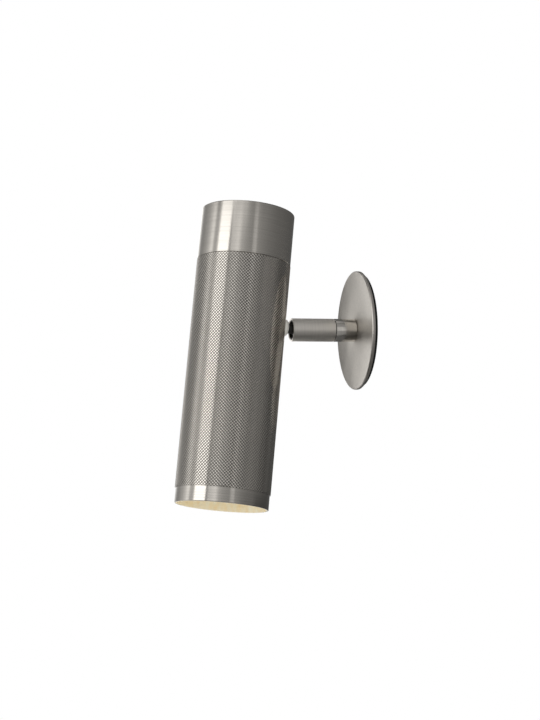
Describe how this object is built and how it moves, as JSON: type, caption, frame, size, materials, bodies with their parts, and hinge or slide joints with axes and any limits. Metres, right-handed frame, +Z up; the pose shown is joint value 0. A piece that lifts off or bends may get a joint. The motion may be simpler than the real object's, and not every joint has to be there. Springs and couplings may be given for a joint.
{
  "type": "tube wall light",
  "caption": "Wall spotlight: a knurled steel tube with a plain cap and ring, on a short round arm with a swivel and a ball joint, over a round wall disc.",
  "frame": {"origin": "centre of the mounting plate's back face, on the wall", "axes": "+Y into the wall, so the arm stands out along -Y; +Z up"},
  "size_m": [0.0852, 0.1287, 0.1974],
  "materials": {
    "satin_steel": "satin, brushed round the axis",
    "polished_steel": "finely polished",
    "black_coat": "matt black powder coat",
    "dark_steel": "blackened",
    "plain_steel": "bright zinc",
    "brass": "turned",
    "dark_nylon": "moulded",
    "ceramic": "unglazed",
    "lamp_white": "moulded",
    "lamp_lens": "frosted",
    "gold_cone": "gold-coloured, satin inside",
    "lead_black": "sheathed lead",
    "core_brown": "insulated core",
    "core_blue": "insulated core",
    "core_green_yellow": "insulated core, green with yellow"
  },
  "bodies": {
    "wall_body": {"base_plate": "black_coat", "wall_disc": "satin_steel", "centre_nipple": "brass", "plate_nut": "plain_steel", "cable_bush": "dark_nylon", "arm_stub": "polished_steel", "swivel_stud": "brass", "swivel_bush": "dark_nylon", "stop_pin": "plain_steel", "swivel_ring_nut": "brass", "arm_lead": "lead_black"},
    "arm": {"arm_sleeve": "satin_steel", "friction_washer": "brass", "thrust_washer": "plain_steel", "disc_springs": "plain_steel", "ball_seat": "dark_nylon", "ball_retainer": "dark_steel"},
    "head": {"ball_stem": "dark_steel", "trunnion_pins": "plain_steel", "stem_collar": "polished_steel", "knurled_sleeve": "satin_steel", "top_cap": "satin_steel", "bottom_ring": "satin_steel", "glare_cone": "gold_cone", "cone_snap_ring": "plain_steel", "saddle_spacer": "dark_nylon", "holder_bracket": "plain_steel", "stem_washer": "plain_steel", "stem_nut": "brass", "lamp_holder": "ceramic", "holder_screws": "plain_steel", "holder_nuts": "plain_steel", "pin_contacts": "brass", "lamp_body": "lamp_white", "lamp_lens": "lamp_lens", "lamp_pins": "brass", "earth_screw": "brass", "earth_lug": "brass", "cable_tie": "dark_nylon", "head_lead": "lead_black", "live_core": "core_brown", "neutral_core": "core_blue", "earth_core": "core_green_yellow"}
  },
  "joints": [
    {"name": "arm_swivel", "type": "hinge", "parent": "wall_body", "child": "arm", "pos_m": [0, -0.018, 0], "axis": [0, -1, 0], "range_deg": [-173.1, 156.9]},
    {"name": "ball_tilt", "type": "hinge", "parent": "arm", "child": "head", "pos_m": [0, -0.041, 0], "axis": [-0.99, 0, -0.1409], "range_deg": [-29.2, 14.8]}
  ]
}
